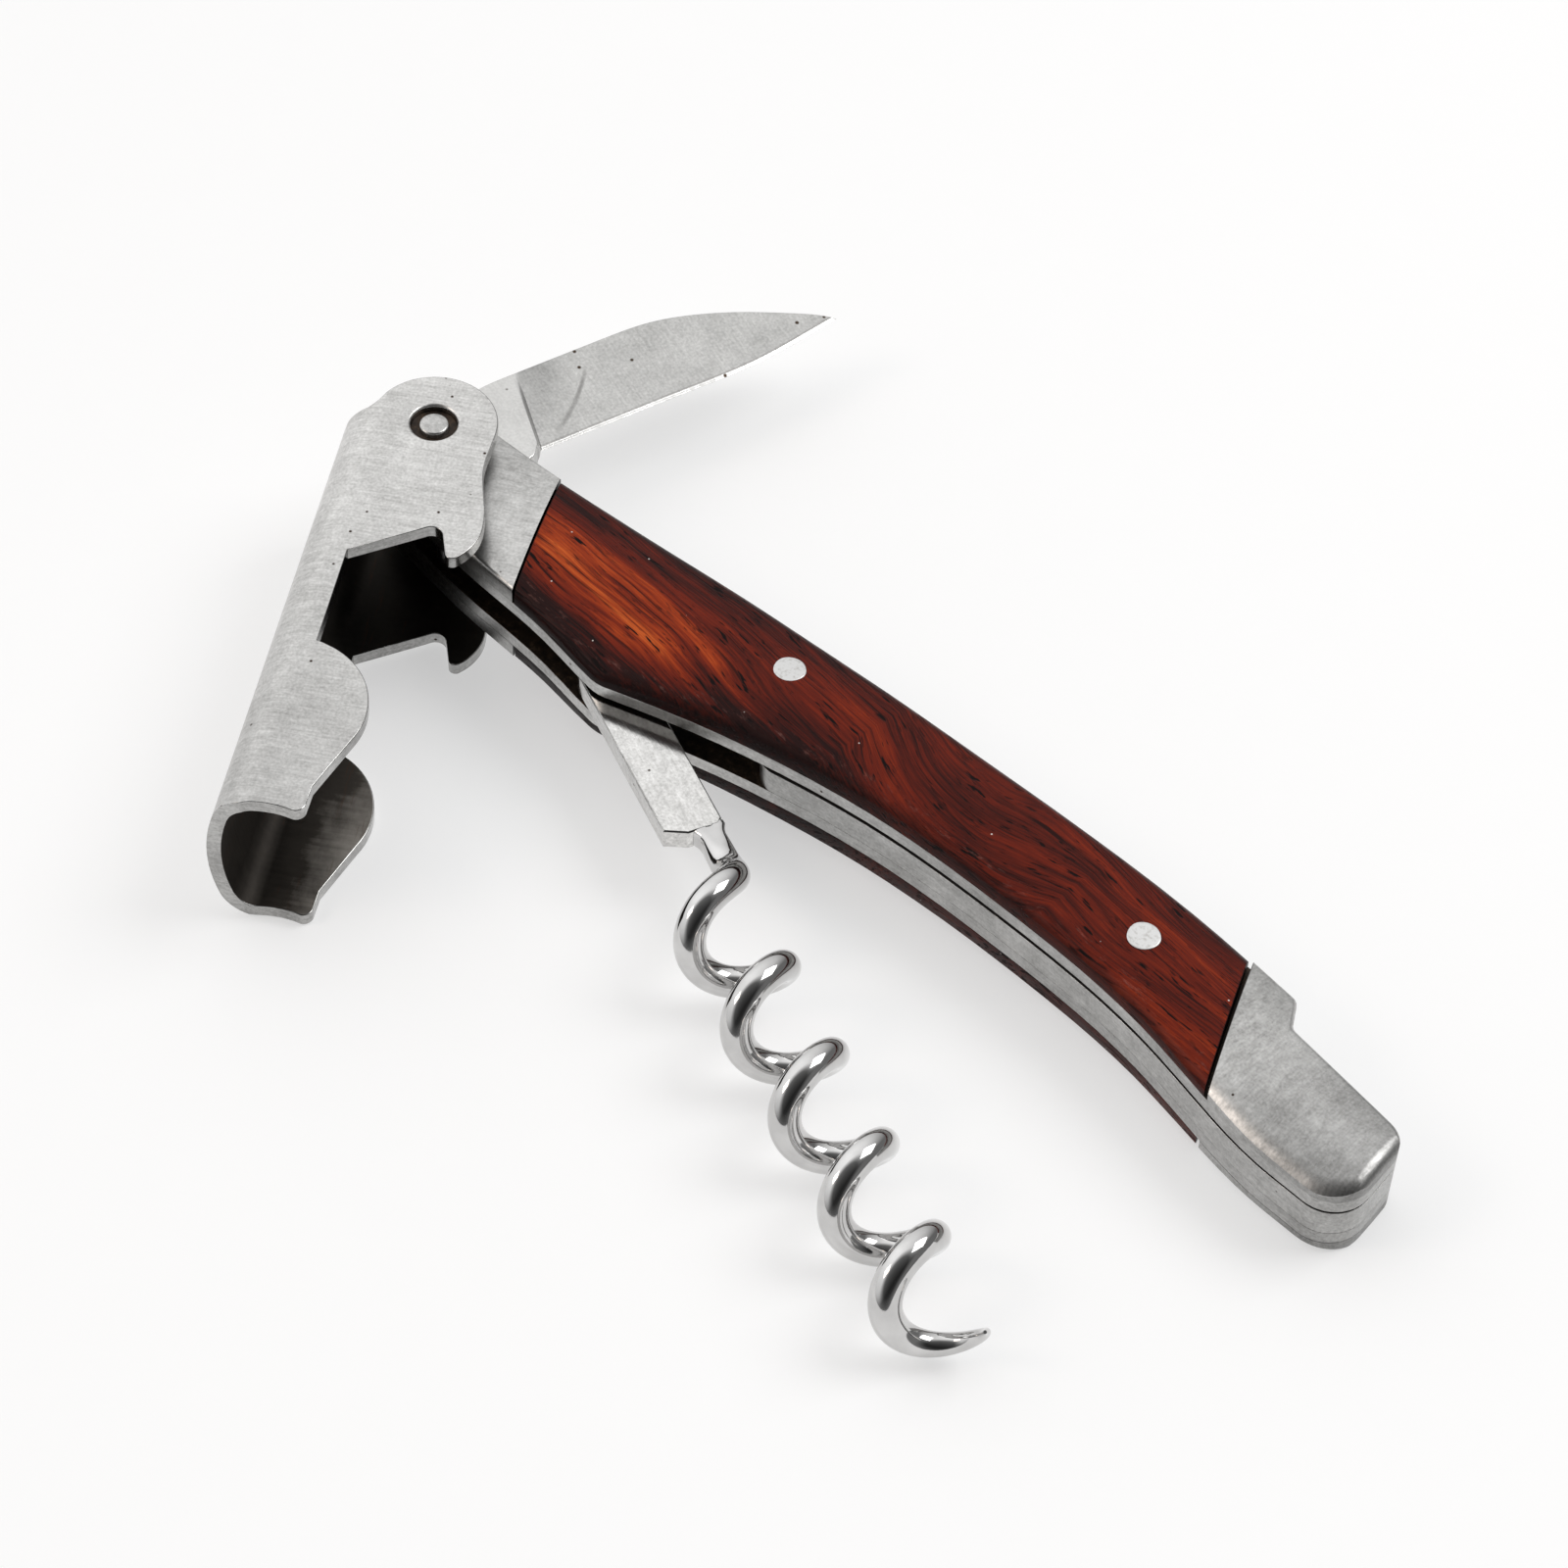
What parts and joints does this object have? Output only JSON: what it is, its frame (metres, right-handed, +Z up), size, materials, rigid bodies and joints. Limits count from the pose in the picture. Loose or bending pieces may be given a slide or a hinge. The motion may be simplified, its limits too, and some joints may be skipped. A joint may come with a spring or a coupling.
{
  "type": "lever corkscrew",
  "caption": "Folding lever corkscrew, half open: wood-scaled steel handle with bolsters, channel lever with cap hook and boot, short foil blade and wound wire worm on a flat shank.",
  "frame": {"origin": "under the middle of the half-open tool's outline, on the plane of the lever's lower cheek", "axes": "+X along the handle from the pivot pin to the tail, -Y to the belly where the worm and lever swing out, +Z up along the hinge pins"},
  "size_m": [0.1106, 0.079, 0.0144],
  "materials": {
    "satin_steel": "satin",
    "wood": "oiled, semi-gloss",
    "rivet_metal": "matte",
    "pin_steel": "turned",
    "lever_steel": "satin, brushed across",
    "blade_steel": "ground",
    "worm_steel": "polished"
  },
  "bodies": {
    "handle": {"upper_liner": "satin_steel", "lower_liner": "satin_steel", "upper_front_bolster": "satin_steel", "lower_front_bolster": "satin_steel", "upper_rear_bolster": "satin_steel", "lower_rear_bolster": "satin_steel", "upper_scale": "wood", "lower_scale": "wood", "centre_spacer": "satin_steel", "front_scale_rivets": "rivet_metal", "rear_scale_rivet": "rivet_metal", "front_bolster_pin": "pin_steel", "rear_bolster_pin": "pin_steel", "spacer_pin": "pin_steel", "pivot_pin": "pin_steel", "upper_pivot_bush": "pin_steel", "lower_pivot_bush": "pin_steel", "worm_pin": "pin_steel"},
    "lever": {"lever": "lever_steel"},
    "blade": {"foil_blade": "blade_steel"},
    "worm": {"worm": "worm_steel"}
  },
  "joints": [
    {"name": "lever_pivot", "type": "hinge", "parent": "handle", "child": "lever", "pos_m": [-0.04803, 0.00085, 0.0072], "axis": [0, 0, 1], "range_deg": [-35, 5]},
    {"name": "blade_pivot", "type": "hinge", "parent": "handle", "child": "blade", "pos_m": [-0.04803, 0.00085, 0.0072], "axis": [0, 0, 1], "range_deg": [-75.5, 40]},
    {"name": "worm_pivot", "type": "hinge", "parent": "handle", "child": "worm", "pos_m": [-0.0222, -0.00388, 0.0072], "axis": [0, 0, 1], "range_deg": [-68.8, 16.2]}
  ]
}
